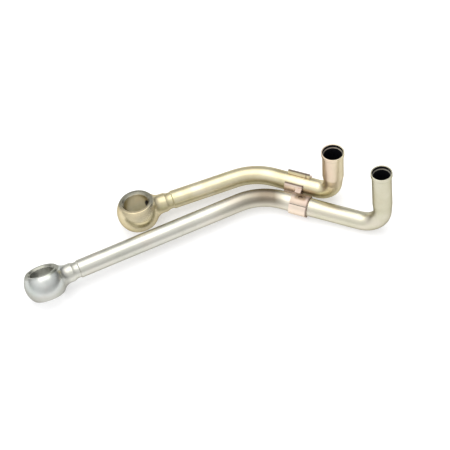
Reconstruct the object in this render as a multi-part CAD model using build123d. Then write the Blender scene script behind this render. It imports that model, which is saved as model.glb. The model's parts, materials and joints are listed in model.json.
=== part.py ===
# Coolant pipe pair: two bent steel tubes with ball banjo eyes, held side by side by sheet clips
# Units are millimetres. The part lies on z = 0 on both eyes and on the elbow of the long pipe.
import os
from math import radians, tan

from build123d import *

# Tube stock
TUBE_OD = 12.0
TUBE_WALL = 1.0
MAIN_BEND_RADIUS = 40.0

# Corner points of the long pipe: eye centre, main bend, elbow, stub mouth
LONG_EYE = Vector(-107.99, -33.24, 13.72)
LONG_BEND = Vector(32.11, 26.86, 9.10)
LONG_ELBOW = Vector(112.21, -0.34, 5.33)
LONG_MOUTH = Vector(114.91, 12.16, 53.53)
LONG_ELBOW_RADIUS = 15.0

# The short pipe lies behind it, its run beside the long one's at PIPE_SPACING
SHORT_EYE = Vector(-47.89, 17.56, 11.60)
PIPE_SPACING = 14.6
SHORT_BEND_SETBACK = 8.7
SHORT_RUN = 54.6
SHORT_STUB = Vector(2.90, 9.00, 37.20)
SHORT_ELBOW_RADIUS = 10.5

# Hose stubs: the tube is opened out and ends in a short collar at its mouth
LONG_STUB_OD = 13.0
SHORT_STUB_OD = 14.0
STUB_WALL = 0.8
STUB_CONE = 6.0
COLLAR_STEP = 0.6
COLLAR_HEIGHT = 2.4
COLLAR_RAMP = 0.3
RIM_ROUND = 0.3

# Banjo eyes: a ball with two flat faces, a bolt bore and a shank that plugs into the tube
BALL_RADIUS = 14.0
FACE_OFFSET = 8.7
BOLT_BORE = 16.2
BORE_CHAMFER = 1.2
FACE_ROUND = 0.5
SHANK_OD = 12.6
SHANK_END = 19.0
SHANK_ROUND = 7.0
SPIGOT_END = 31.0
PORT_BORE = 8.0
LONG_BORE_TILT = Vector(-0.239, 0.611, 0.755)
SHORT_BORE_TILT = Vector(-0.081, 0.296, 0.952)

# Brazed joint between shank and tube
TUBE_START = 23.4
BRAZE_CROWN = 12.4
BRAZE_WAIST = 10.9
TUBE_END_CHAMFER = 0.5

# Sheet clips, placed by their distance past the main bend, with angles from straight up
CLIP_SHEET = 1.2
LONG_CLIP_AT = 27.8
LONG_CLIP_LENGTH = 12.0
SHORT_CLIP_AT = 30.2
SHORT_CLIP_LENGTH = 14.8
SHORT_FRONT_LENGTH = 12.4
OPEN_FRONT = 35.0
OPEN_BACK = 27.0
SEAM_BACK = 31.0
EAR_HEIGHT = 2.8
EAR_FLARE = 80.0
PLUG_DIAMETER = 3.2
PLUG_DEPTH = 0.7
PLUG_TILT = -12.0
BRAZE_LOW = -2.6
BRAZE_HIGH = 4.4
BRAZE_INSET = 0.4


def bent_path(points, radii):
    """Straight runs joined by arcs of the given radii at the inner points."""
    edges = []
    start = points[0]
    for corner, after, radius in zip(points[1:-1], points[2:], radii):
        before = (start - corner).normalized()
        onward = (after - corner).normalized()
        half_turn = (180.0 - before.get_angle(onward)) / 2.0
        setback = radius * tan(radians(half_turn))
        enter = corner + before * setback
        leave = corner + onward * setback
        inward = (before + onward).normalized()
        centre = corner + inward * (setback**2 + radius**2) ** 0.5
        edges.append(Line(start, enter))
        edges.append(ThreePointArc(enter, centre - inward * radius, leave))
        start = leave
    edges.append(Line(start, points[-1]))
    return Wire(edges)


def elbow_end(before, corner, after, radius):
    """Point where an elbow of the given radius meets the run that follows it."""
    back = (before - corner).normalized()
    onward = (after - corner).normalized()
    half_turn = (180.0 - back.get_angle(onward)) / 2.0
    return corner + onward * (radius * tan(radians(half_turn)))


def across(direction, along):
    """Unit vector closest to a direction and square to another one."""
    along = along.normalized()
    return (direction - along * direction.dot(along)).normalized()


def swept_tube(path):
    """Round tube stock drawn along a path."""
    start = Plane(origin=path @ 0, z_dir=path % 0)
    ring = start * (Circle(TUBE_OD / 2) - Circle(TUBE_OD / 2 - TUBE_WALL))
    return sweep(ring, path=path)


def hose_stub(root, mouth, stub_od):
    """Opened out tube end with a collar at the mouth, turned about the stub axis."""
    length = (mouth - root).length
    tube_outer = TUBE_OD / 2
    tube_inner = tube_outer - TUBE_WALL
    outer = stub_od / 2
    inner = outer - STUB_WALL
    collar_foot = length - COLLAR_HEIGHT
    ramp_foot = collar_foot - COLLAR_RAMP
    profile = Polyline(
        (tube_inner, 0),
        (tube_outer, 0),
        (outer, STUB_CONE),
        (outer, ramp_foot),
        (outer + COLLAR_STEP, collar_foot),
        (outer + COLLAR_STEP, length),
        (inner + COLLAR_STEP, length),
        (inner + COLLAR_STEP, collar_foot),
        (inner, ramp_foot),
        (inner, STUB_CONE),
        close=True,
    )
    section = make_face(profile)
    rim = section.vertices().filter_by(lambda v: abs(v.Y - length) < 1e-6)
    section = fillet(rim, RIM_ROUND)
    shell = revolve(Plane.XZ * section, axis=Axis.Z)
    return Plane(origin=root, z_dir=mouth - root) * shell


def pipe(corners, elbow_radius, stub_od):
    """One pipe: tube from its brazed end through both bends, with its hose stub."""
    eye, bend, elbow, mouth = corners
    run = (bend - eye).normalized()
    start = eye + run * TUBE_START
    root = elbow_end(bend, elbow, mouth, elbow_radius)
    lead = (mouth - elbow).normalized()
    path = bent_path([start, bend, elbow, root + lead * 0.5], [MAIN_BEND_RADIUS, elbow_radius])
    tube = swept_tube(path)
    bevel = Plane(origin=start, z_dir=run) * tube_end_bevel()
    return tube - bevel + hose_stub(root, mouth, stub_od)


def tube_end_bevel():
    """Ring that takes the sharp outer edge off the start of a tube."""
    outer = TUBE_OD / 2
    corner = Polyline(
        (outer - TUBE_END_CHAMFER, 0),
        (outer + 1, -TUBE_END_CHAMFER),
        (outer + 1, TUBE_END_CHAMFER),
        (outer, TUBE_END_CHAMFER),
        close=True,
    )
    return revolve(Plane.XZ * make_face(corner), axis=Axis.Z)


def banjo_eye(centre, towards, bore_axis):
    """Ball eye with flat faces, bolt bore, shank, spigot and fluid port."""
    run = (towards - centre).normalized()
    axis = across(bore_axis, run)
    lie = Rot(0, 90, 0)
    shank = lie * Cylinder(SHANK_OD / 2, SHANK_END, align=(Align.CENTER, Align.CENTER, Align.MIN))
    body = Rot(0, 0, 180) * Sphere(BALL_RADIUS) + shank
    neck = body.edges().filter_by(lambda edge: 12.0 < edge.center().X < 13.5 and edge.length > 8.0)
    body = fillet(neck, SHANK_ROUND)
    body = body & Box(4 * BALL_RADIUS, 4 * BALL_RADIUS, 2 * FACE_OFFSET)
    outline = body.edges().filter_by(lambda edge: abs(abs(edge.center().Z) - FACE_OFFSET) < 1e-4)
    body = fillet(outline, FACE_ROUND)
    spigot_od = TUBE_OD - 2 * TUBE_WALL
    spigot = lie * Cylinder(spigot_od / 2, SPIGOT_END, align=(Align.CENTER, Align.CENTER, Align.MIN))
    port = lie * Cylinder(PORT_BORE / 2, SPIGOT_END, align=(Align.CENTER, Align.CENTER, Align.MIN))
    bore = Cylinder(BOLT_BORE / 2, 4 * FACE_OFFSET)
    body = body + spigot - bore - port
    rims = [
        edge
        for edge in body.edges().filter_by(GeomType.CIRCLE)
        if abs(abs(edge.center().Z) - FACE_OFFSET) < 0.01 and abs(edge.radius - BOLT_BORE / 2) < 0.01
    ]
    body = chamfer(rims, BORE_CHAMFER)
    return Plane(origin=centre, x_dir=run, z_dir=axis) * body


def braze_ring(centre, towards):
    """Waisted ring of braze metal round the spigot, between shank and tube."""
    run = (towards - centre).normalized()
    inner = TUBE_OD / 2 - TUBE_WALL
    crown = BRAZE_CROWN / 2
    waist = BRAZE_WAIST / 2
    middle = (SHANK_END + TUBE_START) / 2
    tube_lip = TUBE_OD / 2 - TUBE_END_CHAMFER
    skin = ThreePointArc((crown, SHANK_END), (waist, middle), (tube_lip, TUBE_START))
    outline = Wire(
        [
            skin,
            Line((tube_lip, TUBE_START), (inner, TUBE_START)),
            Line((inner, TUBE_START), (inner, SHANK_END)),
            Line((inner, SHANK_END), (crown, SHANK_END)),
        ]
    )
    ring = revolve(Plane.XZ * make_face(outline), axis=Axis.Z)
    return Plane(origin=centre, z_dir=run) * ring


def clip_frame(bend, run, distance):
    """Section plane of a clip: x points back, y points up, z runs along the tube."""
    up = across(Vector(0, 0, 1), run)
    return Plane(origin=bend + run * distance, x_dir=up.cross(run), z_dir=run)


def on_circle(radius, forward):
    """Point on a circle at an angle measured from straight up towards the front."""
    turned = Vector(0, radius, 0).rotate(Axis.Z, forward)
    return (turned.X, turned.Y)


def opening(from_angle, to_angle):
    """Wedge that cuts the mouth of a clip out of its ring."""
    far = 2 * TUBE_OD
    middle = (from_angle + to_angle) / 2
    return make_face(
        Polyline((0, 0), on_circle(far, from_angle), on_circle(far, middle), on_circle(far, to_angle), close=True)
    )


def clip_wrap(open_from, open_to):
    """Section of a sheet strip rolled round a tube."""
    return Circle(TUBE_OD / 2 + CLIP_SHEET) - Circle(TUBE_OD / 2) - opening(open_from, open_to)


def ear():
    """Section of the ear at the back end of the short clip, bent up off the tube."""
    middle = TUBE_OD / 2 + CLIP_SHEET / 2
    blade = Pos(-EAR_HEIGHT / 2, 0) * Rectangle(EAR_HEIGHT, CLIP_SHEET)
    bent = Rot(0, 0, -OPEN_BACK - EAR_FLARE) * blade + Circle(CLIP_SHEET / 2)
    return Pos(*on_circle(middle, -OPEN_BACK)) * bent - Circle(TUBE_OD / 2)


def short_clip(frame):
    """Open saddle round the short pipe, shorter in front, with a standing ear behind."""
    section = clip_wrap(-OPEN_BACK, OPEN_FRONT) + ear()
    strip = extrude(section, SHORT_CLIP_LENGTH / 2, both=True)
    end = SHORT_CLIP_LENGTH / 2
    cut = SHORT_CLIP_LENGTH - SHORT_FRONT_LENGTH
    notch = Pos(-TUBE_OD, 0, end - cut / 2) * Box(2 * TUBE_OD, 4 * TUBE_OD, cut)
    return frame * (strip - notch)


def plug_hole(diameter):
    """Cutter for the plug hole through the top of the long clip."""
    hole = Cylinder(diameter / 2, 2 * CLIP_SHEET, align=(Align.CENTER, Align.CENTER, Align.MIN))
    upright = Pos(0, TUBE_OD / 2, 0) * Rot(-90, 0, 0) * hole
    return Rot(0, 0, PLUG_TILT) * upright


def long_clip(frame):
    """Closed wrap round the long pipe, with its seam in front and a plug hole on top."""
    strip = extrude(clip_wrap(SEAM_BACK, OPEN_FRONT), LONG_CLIP_LENGTH / 2, both=True)
    return frame * (strip - plug_hole(PLUG_DIAMETER))


def clip_plug(frame):
    """Dished braze plug that fills the plug hole of the long clip."""
    dished = TUBE_OD / 2 + CLIP_SHEET - PLUG_DEPTH
    shell = Cylinder(dished, LONG_CLIP_LENGTH) - Cylinder(TUBE_OD / 2, LONG_CLIP_LENGTH)
    return frame * (plug_hole(PLUG_DIAMETER) & shell)


def clip_braze(frame):
    """Braze metal in the narrow place between the two clips, where both are present."""
    outer = TUBE_OD / 2 + CLIP_SHEET
    block = Pos(PIPE_SPACING / 2, BRAZE_LOW) * Rectangle(
        PIPE_SPACING - TUBE_OD / 2, BRAZE_HIGH - BRAZE_LOW, align=(Align.CENTER, Align.MIN)
    )
    gap = block - Circle(outer) - Pos(PIPE_SPACING, 0) * Circle(outer)
    start = BRAZE_INSET - LONG_CLIP_LENGTH / 2
    front_end = SHORT_CLIP_AT - SHORT_CLIP_LENGTH / 2 + SHORT_FRONT_LENGTH
    end = front_end - SHORT_BEND_SETBACK - LONG_CLIP_AT - BRAZE_INSET
    return frame * Pos(0, 0, start) * extrude(gap, end - start)


def build():
    """All pieces by node name."""
    run = (LONG_ELBOW - LONG_BEND).normalized()
    side = across(Vector(0, 0, 1), run).cross(run)
    short_bend = LONG_BEND - run * SHORT_BEND_SETBACK + side * PIPE_SPACING
    short_elbow = short_bend + run * SHORT_RUN
    short_mouth = short_elbow + SHORT_STUB
    long_frame = clip_frame(LONG_BEND, run, LONG_CLIP_AT)
    short_frame = clip_frame(short_bend, run, SHORT_CLIP_AT)
    long_corners = [LONG_EYE, LONG_BEND, LONG_ELBOW, LONG_MOUTH]
    short_corners = [SHORT_EYE, short_bend, short_elbow, short_mouth]
    return {
        "long_pipe": pipe(long_corners, LONG_ELBOW_RADIUS, LONG_STUB_OD),
        "short_pipe": pipe(short_corners, SHORT_ELBOW_RADIUS, SHORT_STUB_OD),
        "long_banjo_eye": banjo_eye(LONG_EYE, LONG_BEND, LONG_BORE_TILT),
        "short_banjo_eye": banjo_eye(SHORT_EYE, short_bend, SHORT_BORE_TILT),
        "long_eye_braze": braze_ring(LONG_EYE, LONG_BEND),
        "short_eye_braze": braze_ring(SHORT_EYE, short_bend),
        "long_clip": long_clip(long_frame),
        "short_clip": short_clip(short_frame),
        "clip_plug": clip_plug(long_frame),
        "clip_braze": clip_braze(long_frame),
    }


os.makedirs("parts", exist_ok=True)
for name, piece in build().items():
    piece.label = name
    export_step(piece, f"parts/{name}.step")
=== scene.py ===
# Coolant pipe on a white table: plated steel tubes in soft light, seen from the photograph's angle
import bpy
import json
from mathutils import Matrix, Vector

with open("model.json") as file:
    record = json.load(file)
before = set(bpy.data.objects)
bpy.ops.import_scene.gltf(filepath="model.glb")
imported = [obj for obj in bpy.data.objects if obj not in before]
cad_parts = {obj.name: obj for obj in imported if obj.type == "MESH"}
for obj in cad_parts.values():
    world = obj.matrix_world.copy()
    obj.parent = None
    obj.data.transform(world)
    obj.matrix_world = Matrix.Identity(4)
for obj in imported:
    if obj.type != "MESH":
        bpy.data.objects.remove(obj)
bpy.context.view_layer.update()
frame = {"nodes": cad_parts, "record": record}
bpy.ops.object.select_all(action="DESELECT")


# Shader maths
class Wave:
    """A socket that takes part in Python expressions, in the node tree it belongs to."""

    def __init__(self, tree, socket):
        self.tree = tree
        self.socket = socket

    def _math(self, operation, first, second):
        node = self.tree.nodes.new("ShaderNodeMath")
        node.operation = operation
        for slot, value in zip(node.inputs, (first, second)):
            if isinstance(value, Wave):
                self.tree.links.new(value.socket, slot)
            else:
                slot.default_value = value
        return Wave(self.tree, node.outputs[0])

    def __add__(self, other):
        return self._math("ADD", self, other)

    def __radd__(self, other):
        return self._math("ADD", other, self)

    def __sub__(self, other):
        return self._math("SUBTRACT", self, other)

    def __rsub__(self, other):
        return self._math("SUBTRACT", other, self)

    def __mul__(self, other):
        return self._math("MULTIPLY", self, other)

    def __rmul__(self, other):
        return self._math("MULTIPLY", other, self)

    def clip(self):
        """Holds the value between 0 and 1."""
        return self._math("MINIMUM", self._math("MAXIMUM", self, 0.0), 1.0)


def spread(value, zero, one):
    """0 to 1 as a value goes from one level to the other, upwards or downwards."""
    return ((value - zero) * (1.0 / (one - zero))).clip()


# Sockets of a Mix node that mixes colours
MIX_FIRST = 6
MIX_SECOND = 7
MIX_RESULT = 2

# Depth of the grain of a finish, in metres
RELIEF_DEPTH = 0.00002


class Nodes:
    """Adds nodes to one tree."""

    def __init__(self, tree):
        self.tree = tree

    def node(self, kind, settings=None, values=None):
        """Adds a node: its settings first, then the values or links of its sockets."""
        made = self.tree.nodes.new(kind)
        for key, setting in (settings or {}).items():
            if key == "stops":
                ramp = made.color_ramp
                while len(ramp.elements) < len(setting):
                    ramp.elements.new(0.5)
                for element, (at, colour) in zip(ramp.elements, setting):
                    element.position = at
                    element.color = (*colour, 1.0)
            else:
                setattr(made, key, setting)
        for key, value in (values or {}).items():
            self.feed(made.inputs[key], value)
        return made

    def feed(self, slot, value):
        """Links a socket to a value that varies, or sets it to one that is the same all over."""
        if isinstance(value, Wave):
            self.tree.links.new(value.socket, slot)
        elif isinstance(value, bpy.types.NodeSocket):
            self.tree.links.new(value, slot)
        elif isinstance(value, tuple) and len(value) == 3 and slot.type == "RGBA":
            slot.default_value = (*value, 1.0)
        else:
            slot.default_value = value

    def axis(self, vector, name):
        """One component of a vector."""
        split = self.node("ShaderNodeSeparateXYZ", values={"Vector": vector})
        return Wave(self.tree, split.outputs[name])


class Finish(Nodes):
    """One material: its shader and the nodes that feed it."""

    def __init__(self, name):
        self.material = bpy.data.materials.new(name)
        self.material.use_nodes = True
        super().__init__(self.material.node_tree)
        self.shader = self.tree.nodes["Principled BSDF"]
        self.place = self.node("ShaderNodeTexCoord").outputs["Object"]

    def noise(self, scale, detail, rough, shift=(0.0, 0.0, 0.0)):
        """Cloudy pattern between 0 and 1, its scale in waves per metre."""
        placed = self.node("ShaderNodeMapping", values={"Vector": self.place, "Location": shift})
        values = {"Vector": placed.outputs[0], "Scale": scale, "Detail": detail, "Roughness": rough}
        made = self.node("ShaderNodeTexNoise", values=values)
        return Wave(self.tree, made.outputs["Fac"])

    def ramp(self, factor, stops):
        """Colour that follows a tone from its darkest shade to its lightest."""
        made = self.node("ShaderNodeValToRGB", {"stops": stops}, {"Fac": factor})
        return made.outputs["Color"]

    def blend(self, factor, first, second, mode="MIX"):
        """Two colours mixed, or the first one tinted by the second."""
        settings = {"data_type": "RGBA", "blend_type": mode}
        values = {"Factor": factor, MIX_FIRST: first, MIX_SECOND: second}
        return self.node("ShaderNodeMix", settings, values).outputs[MIX_RESULT]

    def vector(self, operation, first, second=None, output="Vector"):
        """Vector Math node on one or two vectors."""
        values = {0: first}
        if second is not None:
            values[1] = second
        return self.node("ShaderNodeVectorMath", {"operation": operation}, values).outputs[output]

    def length(self):
        """Place along the length of the part, in metres."""
        return self.axis(self.place, "X")

    def height(self):
        """Height over the table, in metres."""
        return self.axis(self.place, "Z")

    def off_point(self, point):
        """Distance from a point, in metres."""
        arm = self.vector("SUBTRACT", self.place, point)
        return Wave(self.tree, self.vector("LENGTH", arm, output="Value"))

    def off_line(self, point, direction):
        """Distance from a straight line, in metres."""
        arm = self.vector("SUBTRACT", self.place, point)
        across = self.vector("CROSS_PRODUCT", arm, direction)
        return Wave(self.tree, self.vector("LENGTH", across, output="Value"))

    def past_point(self, point, direction):
        """Distance past a point along a direction, in metres."""
        arm = self.vector("SUBTRACT", self.place, point)
        return Wave(self.tree, self.vector("DOT_PRODUCT", arm, direction, output="Value"))

    def finish(self, colour, roughness, metallic=1.0, relief=None):
        """Feeds the shader, and gives the material."""
        self.feed(self.shader.inputs["Base Color"], colour)
        self.feed(self.shader.inputs["Roughness"], roughness)
        self.feed(self.shader.inputs["Metallic"], metallic)
        if relief is not None:
            values = {"Height": relief, "Distance": RELIEF_DEPTH, "Strength": 1.0}
            bump = self.node("ShaderNodeBump", values=values)
            self.feed(self.shader.inputs["Normal"], bump.outputs[0])
        return self.material


# Places on the part, in metres, and directions: the record gives the eyes and the stub mouths
def mount(name):
    """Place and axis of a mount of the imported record."""
    found = next(entry for entry in frame["record"]["mounts"] if entry["name"] == name)
    return tuple(found["pos_m"]), tuple(found["axis"])


LONG_EYE, LONG_BORE = mount("long_eye_bore")
SHORT_EYE, SHORT_BORE = mount("short_eye_bore")
LONG_MOUTH, LONG_STUB = mount("long_hose_stub")
SHORT_MOUTH, SHORT_STUB = mount("short_hose_stub")

# Inner radius of each stub, and how far down the painted shade in it goes
LONG_STUB_BORE = 0.0057
SHORT_STUB_BORE = 0.0062
LONG_STUB_DARK = 0.034
SHORT_STUB_DARK = 0.024

# Directions from each eye along its tube, and from the front of the part to its back
LONG_RUN = (0.91859, 0.39406, -0.03029)
SHORT_RUN = (0.94675, 0.32092, -0.02616)
BACK = (0.0, 1.0, 0.0)

# The clips: along their tubes, level and square to that, and points on plug, ends and cut edges
CLIP_RUN = (0.94596, -0.32122, -0.04452)
CLIP_BACK = (0.32150, 0.94690, 0.0)
PLUG = (0.05916, 0.01921, 0.01470)
LONG_CLIP_END = (0.06408, 0.01600, 0.00760)
SHORT_CLIP_END = (0.06187, 0.03217, 0.00792)
SHORT_LIP = (0.05615, 0.03012, 0.01354)
EAR_TIP = (0.05873, 0.03727, 0.01669)
LONG_LIP = (0.05742, 0.01427, 0.01326)
LONG_SEAM = (0.05755, 0.01463, 0.01351)

# How far the painted brown shade reaches round each cut edge and from each clip's end, in metres
SHORT_LIP_REACH = 0.0013
EAR_TIP_REACH = 0.0010
LONG_LIP_REACH = 0.0007
LONG_SEAM_REACH = 0.0006
LONG_END_REACH = 0.0011
SHORT_END_REACH = 0.0009

# Share of that reach within which the painted shade is full
EDGE_CORE = 0.55
END_CORE = 0.5


# Tones of the plating, each a ramp of shades, and plain colours that lie over them. Some of them
# are painted light, shade or reflection, as marked.
def tone(low, middle, high):
    """Three shades of one tone, evenly apart."""
    return [(0.0, low), (0.5, middle), (1.0, high)]


SILVER = [
    (0.0, (0.52, 0.52, 0.45)),
    (0.45, (0.59, 0.585, 0.525)),
    (0.75, (0.62, 0.61, 0.55)),
    (1.0, (0.65, 0.635, 0.575)),
]
STRAW = [
    (0.0, (0.54, 0.51, 0.385)),
    (0.4, (0.60, 0.575, 0.45)),
    (0.7, (0.63, 0.585, 0.485)),
    (1.0, (0.65, 0.625, 0.52)),
]
GOLD = [
    (0.0, (0.51, 0.44, 0.27)),
    (0.45, (0.60, 0.54, 0.355)),
    (0.75, (0.645, 0.585, 0.41)),
    (1.0, (0.64, 0.60, 0.46)),
]
PINK = tone((0.65, 0.52, 0.405), (0.72, 0.59, 0.465), (0.75, 0.64, 0.51))
BLUE_GREY = tone((0.40, 0.43, 0.41), (0.49, 0.52, 0.50), (0.56, 0.58, 0.56))
OLIVE = tone((0.54, 0.46, 0.29), (0.665, 0.58, 0.385), (0.72, 0.655, 0.475))
CLIP_PINK = tone((0.72, 0.56, 0.48), (0.84, 0.68, 0.59), (0.86, 0.74, 0.61))
# Dark bronze: the braze plug's own colour, and painted shade behind the long clip's crest
CLIP_BRONZE = tone((0.21, 0.145, 0.10), (0.26, 0.185, 0.125), (0.31, 0.235, 0.165))
# Middle tone: painted shade on the long clip's upper side; on the braze web it is partly its own
# colour and partly painted shade between the pipes
CLIP_MIDDLE = tone((0.39, 0.295, 0.24), (0.47, 0.37, 0.31), (0.51, 0.42, 0.34))
# Cream painted highlight on the face of the short clip's ear
EAR_CREAM_HIGHLIGHT = tone((0.84, 0.78, 0.60), (0.92, 0.87, 0.70), (0.95, 0.91, 0.76))
# Dark reflection painted on the back half of each eye's upper face
RIM_DARK_REFLECTION = tone((0.20, 0.20, 0.16), (0.24, 0.24, 0.20), (0.28, 0.28, 0.24))
# Olive painted shade deep in the short eye's bolt bore
BORE_OLIVE_SHADE = tone((0.26, 0.22, 0.11), (0.36, 0.315, 0.19), (0.46, 0.42, 0.29))
# Pale painted light deep in the long eye's bolt bore
BORE_PAINTED_LIGHT = tone((0.84, 0.84, 0.80), (0.90, 0.90, 0.86), (0.94, 0.94, 0.90))
# Painted shade on the lower half of the long eye's ball
EYE_LOW_SHADE = tone((0.35, 0.35, 0.31), (0.41, 0.41, 0.37), (0.46, 0.46, 0.42))
# Umber painted reflection of the short tube on the long tube's bend
SHORT_TUBE_REFLECTION_UMBER = tone((0.15, 0.12, 0.085), (0.20, 0.165, 0.12), (0.26, 0.22, 0.165))
STUB_STRAW = tone((0.50, 0.475, 0.345), (0.555, 0.53, 0.405), (0.60, 0.575, 0.465))
STUB_GOLD = tone((0.61, 0.55, 0.365), (0.68, 0.62, 0.43), (0.72, 0.665, 0.485))
# Paler gold painted light on the lower part of the short tube's elbow
ELBOW_GOLD_LIGHT = tone((0.72, 0.65, 0.42), (0.82, 0.75, 0.51), (0.86, 0.80, 0.58))
ROSE = (1.0, 0.88, 0.84)
SAGE = (0.90, 0.98, 0.86)
STAIN = (0.34, 0.28, 0.18)
# Near-black painted shade deep inside the stub mouths and the eye ports
PAINTED_BORE_SHADE = (0.045, 0.045, 0.055)
# Brown painted shadow along the clip's cut edges and ends, and under the stub collars
PAINTED_EDGE_SHADOW = (0.13, 0.085, 0.065)

# Tint of the metal where it is seen at a low angle
ZINC_EDGE = (0.35, 0.33, 0.27)
LONG_EYE_EDGE = (0.60, 0.60, 0.58)
SHORT_EYE_EDGE = (0.50, 0.46, 0.38)

# Soft borders of the masks, in metres: where a mask is 0, then where it is 1.
# Those of a stub are measured outwards from its bore, and upwards from its mouth.
COLLAR_WALL = (0.0008, 0.0006)
COLLAR_REACH = (-0.0034, -0.0031)
BORE_WALL = (0.00025, 0.00005)
STEP_TOP = (-0.0020, -0.0023)
STEP_FOOT = (-0.0031, -0.0028)
UNDER_RIM = (-0.0003, -0.0009)
DEEP_FADE = (0.0, 0.003)
STUB_OUTSIDE = (0.0004, 0.0006)
CORNER_FOOT = (-0.0032, -0.0028)
CORNER_TOP = (-0.0022, -0.0026)
PORT_WALL = (0.0056, 0.0048)
PORT_START = (0.0044, 0.0062)
CLIP_END_PAST = (0.0006, 0.0003)
CLIP_END_FRONT = (0.0040, 0.0020)
RIM_FACE = (0.0070, 0.0079)
RIM_RING = (0.0126, 0.0116)
RIM_BACK = (-0.0060, 0.0010)
BOLT_WALL = (0.0088, 0.0083)
BOLT_DEPTH = (0.0040, -0.0030)
BALL_SKIN = (0.0175, 0.0150)
BALL_LOW = (0.0205, 0.0170)
SHANK_START = (0.0135, 0.0165)
EAR_ROUND = (0.0030, 0.0024)
CREST_START = (-0.0042, -0.0036)
CREST_PAST = (-0.0010, 0.0004)
PLUG_ROUND = (0.0046, 0.0030)
STRAW_START = (-0.03, 0.06)
STUB_RISE = (0.012, 0.022)
STUB_PLACE = (0.064, 0.074)
ELBOW_PLACE = (0.066, 0.076)
ELBOW_RISE = (0.024, 0.014)
BEND_START = (0.000, 0.034)
BEND_END = (0.0500, 0.0420)
BEND_TOP = (0.0085, 0.0135)
BLUSH_PLACE = (0.0900, 0.0810)

# How much of a mask counts
STEP_GLEAM = 0.28
RIM_SHARE = 0.85
BLUSH_SHARE = 0.9
CORNER_SHARE = 0.7
EDGE_SHARE = 0.85
END_SHARE = 0.65

# Roughness that a dark place adds
BORE_ROUGHNESS = 0.25
EDGE_ROUGHNESS = 0.2


# Masks: each function that takes a metal gives 1 in its place and 0 elsewhere
def inside_mouth(point, direction, bore, depth):
    """Painted shade on the inner wall of a stub, from just under its rim down to a depth, with less
    of it on its step as a painted gleam.
    """

    def mask(metal):
        past = metal.past_point(point, direction)
        outside = metal.off_line(point, direction) - bore
        collar = spread(outside, *COLLAR_WALL) * spread(past, *COLLAR_REACH)
        wall = (spread(outside, *BORE_WALL) + collar).clip()
        step = spread(past, *STEP_TOP) * spread(past, *STEP_FOOT)
        dark = wall * spread(past, *UNDER_RIM) * spread(past + depth, *DEEP_FADE)
        return dark * (1.0 - step * STEP_GLEAM)

    return mask


def collar_corner(point, direction, bore):
    """Painted shadow in the narrow corner under the collar of a stub, on its outer wall."""

    def mask(metal):
        past = metal.past_point(point, direction)
        outside = spread(metal.off_line(point, direction) - bore, *STUB_OUTSIDE)
        return outside * spread(past, *CORNER_FOOT) * spread(past, *CORNER_TOP)

    return mask


def inside_port(centre, direction):
    """Painted shade in the port that leads from the bolt bore into the shank, and round its mouth.
    """

    def mask(metal):
        wall = spread(metal.off_line(centre, direction), *PORT_WALL)
        return wall * spread(metal.past_point(centre, direction), *PORT_START)

    return mask


def cut_edge(point, reach):
    """Painted shade close to a cut edge of the clip sheet that runs through a point."""

    def mask(metal):
        return spread(metal.off_line(point, CLIP_RUN), reach, reach * EDGE_CORE)

    return mask


def either(first, second):
    """Where one mask or the other is."""

    def mask(metal):
        return (first(metal) + second(metal)).clip()

    return mask


def sheet_end(point, reach):
    """Painted shade on the last bit of a clip, towards the hose stubs, in front of its tube's
    middle.
    """

    def mask(metal):
        near = spread(metal.past_point(point, CLIP_RUN), -reach, -reach * END_CORE)
        ending = spread(metal.past_point(point, CLIP_RUN), *CLIP_END_PAST)
        return near * ending * spread(metal.past_point(point, CLIP_BACK), *CLIP_END_FRONT)

    return mask


def far_rim_reflection(centre, axis):
    """Back half of the upper face of an eye, where a dark reflection is painted."""

    def mask(metal):
        face = spread(metal.past_point(centre, axis), *RIM_FACE)
        ring = spread(metal.off_line(centre, axis), *RIM_RING)
        return face * ring * spread(metal.past_point(centre, BACK), *RIM_BACK) * RIM_SHARE

    return mask


def bolt_bore(centre, axis):
    """Whole wall of the bolt bore of an eye."""

    def mask(metal):
        return spread(metal.off_line(centre, axis), *BOLT_WALL)

    return mask


def painted_deep_bore(centre, axis):
    """Lower half of the bolt bore of an eye, where painted light goes in the long eye and painted
    shade in the short one.
    """
    whole = bolt_bore(centre, axis)

    def mask(metal):
        return whole(metal) * spread(metal.past_point(centre, axis), *BOLT_DEPTH)

    return mask


def off_ball(centre):
    """Shank of an eye, beyond its ball."""

    def mask(metal):
        return spread(metal.off_point(centre), *SHANK_START)

    return mask


def shaded_low_ball(metal):
    """Lower half of the ball of the long eye, darkened there as painted shade near the table."""
    return spread(metal.off_point(LONG_EYE), *BALL_SKIN) * spread(metal.height(), *BALL_LOW)


def lit_ear(metal):
    """Standing ear of the short clip, painted paler than its sheet as a painted highlight on its
    face.
    """
    return spread(metal.off_line(EAR_TIP, CLIP_RUN), *EAR_ROUND)


def shaded_clip_crest(metal):
    """Long clip from its front seam upwards, darkened there as painted shade."""
    return spread(metal.past_point(LONG_CLIP_END, CLIP_BACK), *CREST_START)


def shaded_behind_crest(metal):
    """Long clip behind its highest line, round its plug, darkened there as painted shade."""
    behind = spread(metal.past_point(LONG_CLIP_END, CLIP_BACK), *CREST_PAST)
    return behind * spread(metal.off_point(PLUG), *PLUG_ROUND)


def to_the_right(metal):
    """Right-hand part of the long tube, where silver has turned to straw."""
    return spread(metal.length(), *STRAW_START)


def painted_short_tube_reflection(metal):
    """Upper side of the long tube's bend under the short tube, where a painted reflection of the
    short tube goes.
    """
    bend = spread(metal.length(), *BEND_START) * spread(metal.length(), *BEND_END)
    return bend * spread(metal.height(), *BEND_TOP)


def lit_elbow(metal):
    """Elbow of the short tube, below its upturned end, painted paler there as painted light."""
    return spread(metal.length(), *ELBOW_PLACE) * spread(metal.height(), *ELBOW_RISE)


def risen(metal):
    """Upturned end of a tube, above its elbow."""
    return spread(metal.height(), *STUB_RISE) * spread(metal.length(), *STUB_PLACE)


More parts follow.
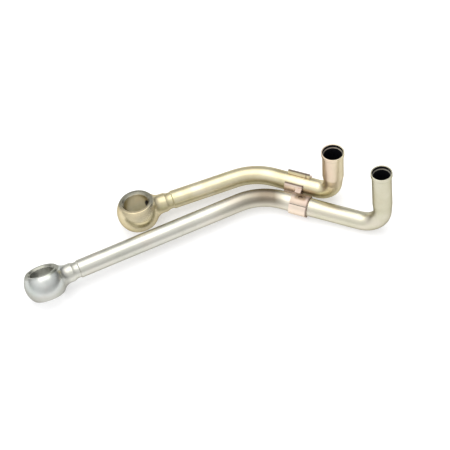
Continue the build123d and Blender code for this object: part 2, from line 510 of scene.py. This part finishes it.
def risen_blush(metal):
    """Pink bloom on the upturned end of the short tube, strongest towards its left."""
    return risen(metal) * spread(metal.length(), *BLUSH_PLACE) * BLUSH_SHARE


# Noises of the plating, from the broadest to the finest
CLOUD = {"scale": 18.0, "detail": 2.0, "rough": 0.5, "shift": (3.1, 1.7, 0.4)}
DRIFT = {"scale": 60.0, "detail": 4.0, "rough": 0.6}
VEIL = {"scale": 95.0, "detail": 3.0, "rough": 0.6, "shift": (1.9, 0.6, 2.2)}
SPECKS = {"scale": 520.0, "detail": 3.0, "rough": 0.7, "shift": (0.3, 2.0, 5.0)}
GRAIN = {"scale": 2600.0, "detail": 2.0, "rough": 0.6}

# Where the noises take hold, and how much they count
DRIFT_SHARE = 0.6
SHADE_RANGE = (0.36, 0.64)
BORDER_DRIFT = 0.4
ROSE_RANGE = (0.56, 0.72)
SAGE_RANGE = (0.44, 0.30)
VEIL_SHARE = 0.30
SPOT_RANGE = (0.66, 0.74)
SPOT_SHARE = 0.3
CLOUD_ROUGHNESS = 0.14
GRAIN_ROUGHNESS = 0.06
SPOT_ROUGHNESS = 0.1
DULL_ROUGHNESS = 0.14
RELIEF_GRAIN = 0.35
MIDDLE = 0.5


def plated(name, tones, roughness, parts=(), shades=(), dull=None, edge_tint=ZINC_EDGE):
    """Passivated zinc on steel: slow drift of colour, fine grain, faint specks and spots.

    parts holds further tones, each with the mask of where it takes over; some of them are painted
    light or shade.
    shades holds painted shade in plain colours: the mask of each, its colour, its share and the
    roughness it adds.
    dull is the mask of where the metal is less polished.
    """
    metal = Finish(name)
    drift = metal.noise(**DRIFT)
    cloud = metal.noise(**CLOUD)
    grain = metal.noise(**GRAIN)
    specks = metal.noise(**SPECKS)
    veil = metal.noise(**VEIL)

    shade = spread(drift * DRIFT_SHARE + cloud * (1.0 - DRIFT_SHARE), *SHADE_RANGE)
    colour = metal.ramp(shade, tones)
    for mask, other in parts:
        there = (mask(metal) + (drift - MIDDLE) * BORDER_DRIFT).clip()
        colour = metal.blend(there, colour, metal.ramp(shade, other))
    colour = metal.blend(spread(veil, *ROSE_RANGE) * VEIL_SHARE, colour, ROSE, "MULTIPLY")
    colour = metal.blend(spread(veil, *SAGE_RANGE) * VEIL_SHARE, colour, SAGE, "MULTIPLY")
    spots = spread(specks, *SPOT_RANGE)
    colour = metal.blend(spots * SPOT_SHARE, colour, STAIN)

    rough = roughness + (cloud - MIDDLE) * CLOUD_ROUGHNESS + (grain - MIDDLE) * GRAIN_ROUGHNESS
    rough = rough + spots * SPOT_ROUGHNESS
    if dull is not None:
        rough = rough + dull(metal) * DULL_ROUGHNESS
    for mask, plain, share, added in shades:
        there = mask(metal)
        colour = metal.blend(there * share, colour, plain)
        if added:
            rough = rough + there * added

    metal.feed(metal.shader.inputs["Specular Tint"], edge_tint)
    relief = grain * RELIEF_GRAIN + specks * (1.0 - RELIEF_GRAIN)
    return metal.finish(colour, rough, relief=relief)


# Painted shade that both pieces of a kind have
def stub_shades(point, direction, bore, depth):
    """Painted shade inside a hose stub and a painted shadow line under its collar."""
    return [
        (inside_mouth(point, direction, bore, depth), PAINTED_BORE_SHADE, 1.0, BORE_ROUGHNESS),
        (collar_corner(point, direction, bore), PAINTED_EDGE_SHADOW, CORNER_SHARE, 0.0),
    ]


def eye_shades(centre, direction):
    """Painted shade in the port of an eye."""
    return [(inside_port(centre, direction), PAINTED_BORE_SHADE, 1.0, 0.0)]


def clip_shades(first_edge, second_edge, end):
    """Painted brown shade along the cut edges and at the end of a clip."""
    return [
        (either(first_edge, second_edge), PAINTED_EDGE_SHADOW, EDGE_SHARE, EDGE_ROUGHNESS),
        (end, PAINTED_EDGE_SHADOW, END_SHARE, 0.0),
    ]


def eye_dull(centre, axis):
    """Where an eye is less polished than its ball: on its shank and in its bolt bore."""
    return either(off_ball(centre), bolt_bore(centre, axis))


# One finish for each node of the frame
coats = {
    "long_pipe": plated(
        "Zinc_long_tube",
        SILVER,
        roughness=0.36,
        parts=[(to_the_right, STRAW), (painted_short_tube_reflection, SHORT_TUBE_REFLECTION_UMBER), (risen, STUB_STRAW)],
        shades=stub_shades(LONG_MOUTH, LONG_STUB, LONG_STUB_BORE, LONG_STUB_DARK),
    ),
    "short_pipe": plated(
        "Zinc_short_tube",
        GOLD,
        roughness=0.35,
        parts=[(lit_elbow, ELBOW_GOLD_LIGHT), (risen, STUB_GOLD), (risen_blush, PINK)],
        shades=stub_shades(SHORT_MOUTH, SHORT_STUB, SHORT_STUB_BORE, SHORT_STUB_DARK),
    ),
    "long_banjo_eye": plated(
        "Zinc_long_eye",
        BLUE_GREY,
        roughness=0.24,
        parts=[
            (off_ball(LONG_EYE), SILVER),
            (shaded_low_ball, EYE_LOW_SHADE),
            (painted_deep_bore(LONG_EYE, LONG_BORE), BORE_PAINTED_LIGHT),
            (far_rim_reflection(LONG_EYE, LONG_BORE), RIM_DARK_REFLECTION),
        ],
        shades=eye_shades(LONG_EYE, LONG_RUN),
        dull=eye_dull(LONG_EYE, LONG_BORE),
        edge_tint=LONG_EYE_EDGE,
    ),
    "short_banjo_eye": plated(
        "Zinc_short_eye",
        OLIVE,
        roughness=0.24,
        parts=[
            (off_ball(SHORT_EYE), GOLD),
            (painted_deep_bore(SHORT_EYE, SHORT_BORE), BORE_OLIVE_SHADE),
            (far_rim_reflection(SHORT_EYE, SHORT_BORE), RIM_DARK_REFLECTION),
        ],
        shades=eye_shades(SHORT_EYE, SHORT_RUN),
        dull=eye_dull(SHORT_EYE, SHORT_BORE),
        edge_tint=SHORT_EYE_EDGE,
    ),
    "long_clip": plated(
        "Clip_sheet_long",
        CLIP_PINK,
        roughness=0.45,
        parts=[(shaded_clip_crest, CLIP_MIDDLE), (shaded_behind_crest, CLIP_BRONZE)],
        shades=clip_shades(
            cut_edge(LONG_LIP, LONG_LIP_REACH),
            cut_edge(LONG_SEAM, LONG_SEAM_REACH),
            sheet_end(LONG_CLIP_END, LONG_END_REACH),
        ),
    ),
    "short_clip": plated(
        "Clip_sheet_short",
        CLIP_PINK,
        roughness=0.42,
        parts=[(lit_ear, EAR_CREAM_HIGHLIGHT)],
        shades=clip_shades(
            cut_edge(SHORT_LIP, SHORT_LIP_REACH),
            cut_edge(EAR_TIP, EAR_TIP_REACH),
            sheet_end(SHORT_CLIP_END, SHORT_END_REACH),
        ),
    ),
    "clip_plug": plated("Braze_plug", CLIP_BRONZE, roughness=0.45),
    "clip_braze": plated("Braze_web", CLIP_MIDDLE, roughness=0.5),
    "long_eye_braze": plated("Braze_long_eye", SILVER, roughness=0.40),
    "short_eye_braze": plated("Braze_short_eye", GOLD, roughness=0.40),
}

for name, thing in frame["nodes"].items():
    for slot in thing.material_slots:
        slot.material = coats[name]

# Table
TABLE_SIZE = 6.0
TABLE_WHITE = (0.68, 0.68, 0.685)
TABLE_ROUGHNESS = 0.9
TABLE_GLOW = 0.38
WHITE = (1.0, 1.0, 1.0)


def table():
    """White table top with a faint glow of its own, so that it stays pale under the part."""
    bpy.ops.mesh.primitive_plane_add(size=TABLE_SIZE, location=(0.0, 0.0, 0.0))
    top = bpy.context.active_object
    top.name = "table"
    paper = Finish("White_table")
    paper.feed(paper.shader.inputs["Emission Color"], WHITE)
    paper.feed(paper.shader.inputs["Emission Strength"], TABLE_GLOW)
    paper.finish(TABLE_WHITE, TABLE_ROUGHNESS, metallic=0.0)
    top.data.materials.append(paper.material)
    bpy.ops.object.select_all(action="DESELECT")


table()

# Overhead light, over the part and a little behind it
LIGHT_PLACE = Vector((-0.1, 0.28, 1.15))
LIGHT_WIDTH = 1.5
LIGHT_DEPTH = 1.25
LIGHT_POWER = 9.2
LIGHT_COLOUR = (1.0, 0.995, 0.975)


def softbox():
    """Wide rectangular light that faces the middle of the part."""
    light = bpy.data.lights.new("overhead", "AREA")
    light.shape = "RECTANGLE"
    light.size = LIGHT_WIDTH
    light.size_y = LIGHT_DEPTH
    light.energy = LIGHT_POWER
    light.color = LIGHT_COLOUR
    made = bpy.data.objects.new("overhead", light)
    bpy.context.scene.collection.objects.link(made)
    made.location = LIGHT_PLACE
    made.rotation_euler = (-LIGHT_PLACE).to_track_quat("-Z", "Y").to_euler()


softbox()

# Room light: how bright its regions are, and their soft borders on a sphere of radius 1
ROOM_GLOW = 0.20
HIGH_GLOW = 0.88
HIGH_BACK_SHARE = 0.82
LOW_FRONT_GLOW = 0.55
LEFT_GLOW = 0.32
FRONT_BORDER = (0.07692, -0.69231)
HIGH_BACK_BORDER = (0.22, 0.5325)
HIGH_FRONT_BORDER = (0.48, 0.70222)
LEFT_BORDER = (0.3, -0.81111)
ROOM_COLOUR = (0.985, 0.985, 1.0)


def studio_air():
    """Room light: dim low down behind, brighter overhead, low in front and from the left."""
    world = bpy.data.worlds.new("studio")
    world.use_nodes = True
    air = Nodes(world.node_tree)
    place = air.node("ShaderNodeTexCoord").outputs["Generated"]
    rise = air.axis(place, "Z")
    front = spread(air.axis(place, "Y"), *FRONT_BORDER)
    left = spread(air.axis(place, "X"), *LEFT_BORDER)
    high_back = spread(rise, *HIGH_BACK_BORDER) * (1.0 - front) * HIGH_BACK_SHARE
    above = high_back + spread(rise, *HIGH_FRONT_BORDER) * front
    low_front = front * (1.0 - above)
    strength = ROOM_GLOW + above * HIGH_GLOW + low_front * LOW_FRONT_GLOW + left * LEFT_GLOW
    shade = world.node_tree.nodes["Background"]
    air.feed(shade.inputs["Strength"], strength)
    air.feed(shade.inputs["Color"], ROOM_COLOUR)
    bpy.context.scene.world = world


studio_air()

# Camera at the photograph's viewing angle: millimetres for its lens, metres for its place
SENSOR_WIDTH = 36.0
LENS = 280.36
FAR_CLIP = 20.0
VIEW_FROM = (0.23405, -1.1019, 1.9995)
VIEW_RIGHT = (0.9937, 0.0, -0.1124)
VIEW_FORWARD = (-0.0983, 0.4837, -0.8697)


def camera():
    """Camera that looks down at the part from in front, rolled a little to one side."""
    lens = bpy.data.cameras.new("camera")
    lens.sensor_width = SENSOR_WIDTH
    lens.lens = LENS
    lens.clip_end = FAR_CLIP
    view = bpy.data.objects.new("camera", lens)
    bpy.context.scene.collection.objects.link(view)
    forward = Vector(VIEW_FORWARD).normalized()
    up = Vector(VIEW_RIGHT).normalized().cross(forward).normalized()
    right = forward.cross(up).normalized()
    turn = Matrix((right, up, -forward)).transposed().to_4x4()
    view.matrix_world = Matrix.Translation(VIEW_FROM) @ turn
    bpy.context.scene.camera = view


camera()
bpy.context.scene.view_settings.view_transform = "Standard"
